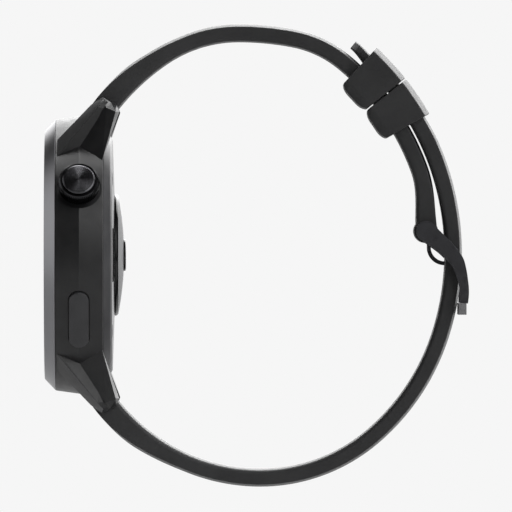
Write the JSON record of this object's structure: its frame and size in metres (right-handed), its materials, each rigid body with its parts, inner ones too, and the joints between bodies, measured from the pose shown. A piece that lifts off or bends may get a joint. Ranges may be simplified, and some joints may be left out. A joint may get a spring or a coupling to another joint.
{
  "type": "gps running watch",
  "caption": "Round sports watch with a turning crown, a side button, a wrist sensor and a two-part silicone strap buckled in a loop.",
  "frame": {"origin": "centre of the sensor lens, where the watch meets the wrist", "axes": "+Z to 12 o'clock, -Y out through the display, +X to the crown side (3 o'clock)"},
  "size_m": [0.0427, 0.0641, 0.07],
  "materials": {
    "case_polymer": "satin moulded fibre-reinforced polymer",
    "coated_metal": "satin dark grey coated metal",
    "strap_silicone": "matte silicone",
    "cover_glass": "polished, dark behind",
    "sensor_glass": "polished translucent grey",
    "black_gloss": "polished black",
    "bare_steel": "turned",
    "seal_rubber": "matte",
    "board_laminate": "solder-resist green",
    "tinned_steel": "tinned",
    "cell_foil": "foil",
    "gold_plate": "gold-plated",
    "led_resin": "clear resin"
  },
  "bodies": {
    "watch": {"antenna_ring": "gold_plate", "back_cover": "case_polymer", "back_gasket": "seal_rubber", "battery": "cell_foil", "bezel": "coated_metal", "button_switch": "case_polymer", "case_screw_1": "bare_steel", "case_screw_2": "bare_steel", "case_screw_3": "bare_steel", "case_screw_4": "bare_steel", "charge_pin_1": "gold_plate", "charge_pin_2": "gold_plate", "charge_pin_3": "gold_plate", "charge_pin_4": "gold_plate", "charge_port": "case_polymer", "chassis": "case_polymer", "crown_switch": "case_polymer", "crown_tube": "bare_steel", "display_glass": "cover_glass", "display_panel": "black_gloss", "glass_gasket": "seal_rubber", "green_led_1": "led_resin", "green_led_2": "led_resin", "main_board": "board_laminate", "mid_case": "case_polymer", "motor_base": "board_laminate", "motor_can": "bare_steel", "photodiode_1": "black_gloss", "photodiode_2": "black_gloss", "pressure_sensor": "bare_steel", "processor_shield": "tinned_steel", "rf_shield": "tinned_steel", "sensor_board": "board_laminate", "sensor_lens": "black_gloss", "sensor_ring": "black_gloss", "sensor_window": "sensor_glass", "spring_bar_lower": "bare_steel", "spring_bar_upper": "bare_steel", "strap_lower": "strap_silicone", "strap_upper": "strap_silicone"},
    "crown_slider": {"crown_slider": "bare_steel"},
    "crown": {"crown_knob": "coated_metal", "crown_cap": "coated_metal", "crown_stem": "bare_steel", "crown_o_ring": "seal_rubber", "crown_clip": "bare_steel", "encoder_magnet": "tinned_steel"},
    "button": {"button_cap": "case_polymer", "button_stem": "bare_steel", "button_clip": "bare_steel"},
    "keeper_upper": {"keeper_upper": "strap_silicone"},
    "keeper_lower": {"keeper_lower": "strap_silicone"},
    "buckle": {"buckle_frame": "coated_metal", "buckle_pin": "bare_steel"},
    "tongue": {"buckle_tongue": "coated_metal"},
    "release_upper": {"quick_release_upper": "bare_steel"},
    "release_lower": {"quick_release_lower": "bare_steel"},
    "motor_weight": {"motor_weight": "tinned_steel"}
  },
  "joints": [
    {"name": "crown_press", "type": "slide", "parent": "watch", "child": "crown_slider", "axis": [-0.8746, 0, -0.4848], "range_m": [0, 0.0004], "stiffness_N_per_m": 1500, "springref_m": -0.0005},
    {"name": "crown_turn", "type": "hinge", "parent": "crown_slider", "child": "crown", "pos_m": [0.01854, -0.007, 0.01028], "axis": [0.8746, 0, 0.4848], "continuous": true},
    {"name": "button_press", "type": "slide", "parent": "watch", "child": "button", "axis": [-0.8829, 0, 0.4695], "range_m": [0, 0.0005], "stiffness_N_per_m": 1500, "springref_m": -0.0005},
    {"name": "keeper_upper_slide", "type": "hinge", "parent": "watch", "child": "keeper_upper", "pos_m": [0, 0.0091, 0.00028], "axis": [1, 0, 0], "range_deg": [0, 6]},
    {"name": "keeper_lower_slide", "type": "hinge", "parent": "watch", "child": "keeper_lower", "pos_m": [0, 0.0091, 0.00028], "axis": [1, 0, 0], "range_deg": [-15, 0]},
    {"name": "buckle_hinge", "type": "hinge", "parent": "watch", "child": "buckle", "pos_m": [0, 0.0453, 0.00364], "axis": [1, 0, 0], "range_deg": [0, 6]},
    {"name": "tongue_hinge", "type": "hinge", "parent": "buckle", "child": "tongue", "pos_m": [0, 0.0453, 0.00364], "axis": [1, 0, 0], "range_deg": [0, 6]},
    {"name": "release_upper_slide", "type": "slide", "parent": "watch", "child": "release_upper", "axis": [-1, 0, 0], "range_m": [0, 0.0011], "stiffness_N_per_m": 400, "springref_m": -0.001},
    {"name": "release_lower_slide", "type": "slide", "parent": "watch", "child": "release_lower", "axis": [-1, 0, 0], "range_m": [0, 0.0011], "stiffness_N_per_m": 400, "springref_m": -0.001},
    {"name": "motor_weight_spin", "type": "hinge", "parent": "watch", "child": "motor_weight", "pos_m": [0.0124, -0.0066, 0], "axis": [0, -1, 0], "continuous": true}
  ]
}
